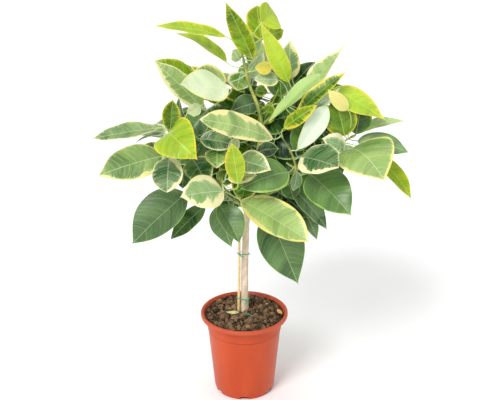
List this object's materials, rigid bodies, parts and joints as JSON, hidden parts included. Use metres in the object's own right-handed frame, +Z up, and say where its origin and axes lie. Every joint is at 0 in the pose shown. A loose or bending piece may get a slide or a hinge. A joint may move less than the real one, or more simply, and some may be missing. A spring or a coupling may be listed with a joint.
{
  "type": "potted ficus tree",
  "caption": "Potted ficus tree with a dense crown of variegated green, lime and cream leaves on one bare stem, tied to a cane in a terracotta-coloured pot.",
  "frame": {"origin": "centre of the pot's flat underside, on the surface that it stands on", "axes": "+Z up the stem, -Y towards the tree's front, +X to the right of the front"},
  "size_m": [0.7381, 0.5399, 1.0104],
  "materials": {
    "pot": "satin",
    "soil": "matte",
    "bark": "matte",
    "green_bark": "matte",
    "cane": "satin",
    "tie": "satin",
    "dry_leaf": "matte",
    "leaf_lime": "satin",
    "leaf_variegated": "satin",
    "leaf_dark": "satin",
    "leaf_cream": "satin"
  },
  "bodies": {
    "root": {"pot": "pot", "soil": "soil", "trunk": "bark", "cane": "cane", "tie_upper": "tie", "tie_lower": "tie", "tie_scrap": "tie", "fallen_leaf": "dry_leaf", "branch_top": "green_bark", "branch_front": "green_bark", "branch_right": "green_bark", "branch_left": "green_bark", "branch_front_right": "green_bark", "branch_upper_left": "green_bark", "branch_upper_right": "green_bark", "branch_back": "green_bark", "leaf_top_1": "leaf_lime", "leaf_top_2": "leaf_lime", "leaf_top_3": "leaf_lime", "leaf_top_4": "leaf_lime", "leaf_top_5": "leaf_lime", "leaf_top_6": "leaf_lime", "leaf_upper_5": "leaf_lime", "leaf_left_3": "leaf_lime", "leaf_left_4": "leaf_lime", "leaf_front_1": "leaf_lime", "leaf_right_1": "leaf_lime", "leaf_right_4": "leaf_lime", "leaf_back_5": "leaf_lime", "leaf_upper_2": "leaf_variegated", "leaf_upper_3": "leaf_variegated", "leaf_upper_4": "leaf_variegated", "leaf_upper_6": "leaf_variegated", "leaf_left_1": "leaf_variegated", "leaf_left_2": "leaf_variegated", "leaf_left_5": "leaf_variegated", "leaf_left_6": "leaf_variegated", "leaf_front_2": "leaf_variegated", "leaf_front_3": "leaf_variegated", "leaf_front_7": "leaf_variegated", "leaf_right_2": "leaf_variegated", "leaf_right_5": "leaf_variegated", "leaf_right_6": "leaf_variegated", "leaf_back_3": "leaf_variegated", "leaf_back_6": "leaf_variegated", "leaf_back_7": "leaf_variegated", "leaf_left_7": "leaf_dark", "leaf_left_8": "leaf_dark", "leaf_front_5": "leaf_dark", "leaf_front_6": "leaf_dark", "leaf_front_8": "leaf_dark", "leaf_right_3": "leaf_dark", "leaf_right_7": "leaf_dark", "leaf_right_9": "leaf_dark", "leaf_back_1": "leaf_dark", "leaf_back_2": "leaf_dark", "leaf_back_4": "leaf_dark", "leaf_upper_1": "leaf_cream", "leaf_front_4": "leaf_cream", "leaf_right_8": "leaf_cream"}
  },
  "joints": []
}
